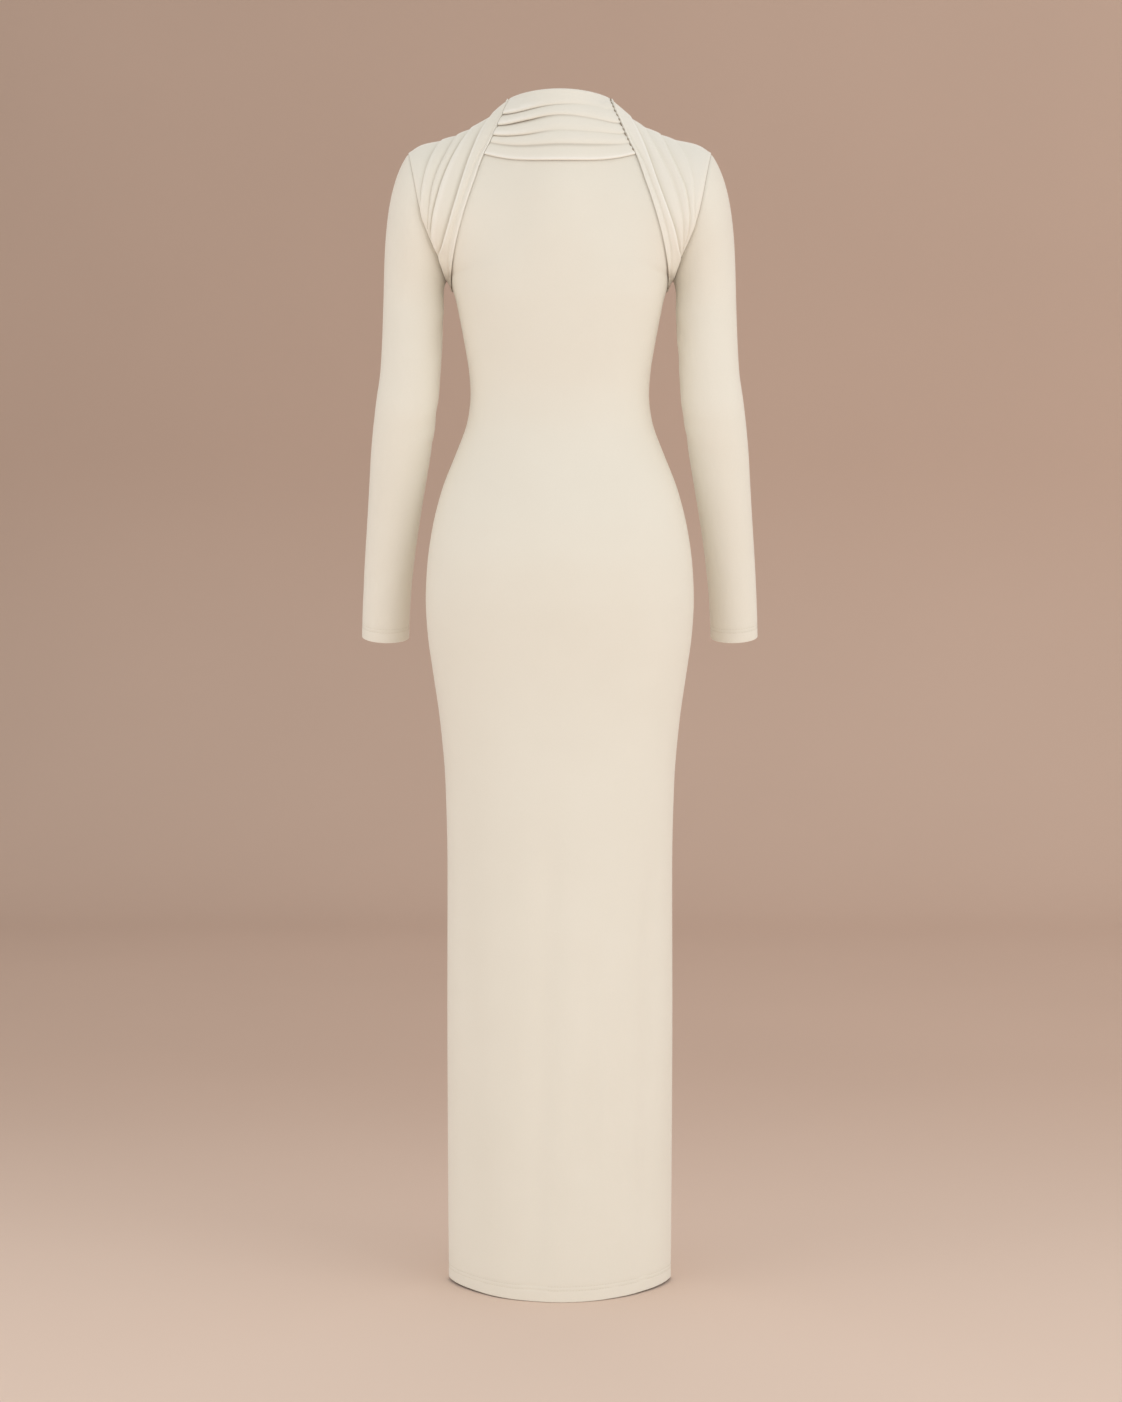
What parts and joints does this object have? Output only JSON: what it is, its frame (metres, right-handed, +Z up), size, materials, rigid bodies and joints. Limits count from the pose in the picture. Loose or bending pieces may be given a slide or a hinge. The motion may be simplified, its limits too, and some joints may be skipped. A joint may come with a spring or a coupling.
{
  "type": "knit maxi dress",
  "caption": "Close-fitting long knit dress filled out as if worn: long set-in sleeves, a neck drape of soft cross folds and pleated shoulder drapes. Hollow and open at neck, cuffs and hem.",
  "frame": {"origin": "midway between the shoulder seams, at the height of the middle of the shoulders, where a wearer holds the dress up", "axes": "+Z up along the dress, +X to the right as the back is seen, +Y out of the dress's front, so the back faces -Y"},
  "size_m": [0.5026, 0.2446, 1.4811],
  "materials": {
    "ivory_knit": "smooth matte double jersey"
  },
  "bodies": {
    "root": {"back_panel": "ivory_knit", "front_panel": "ivory_knit", "sleeve_left": "ivory_knit", "sleeve_right": "ivory_knit", "shoulder_drape_left": "ivory_knit", "shoulder_drape_right": "ivory_knit", "neck_drape": "ivory_knit"}
  },
  "joints": []
}
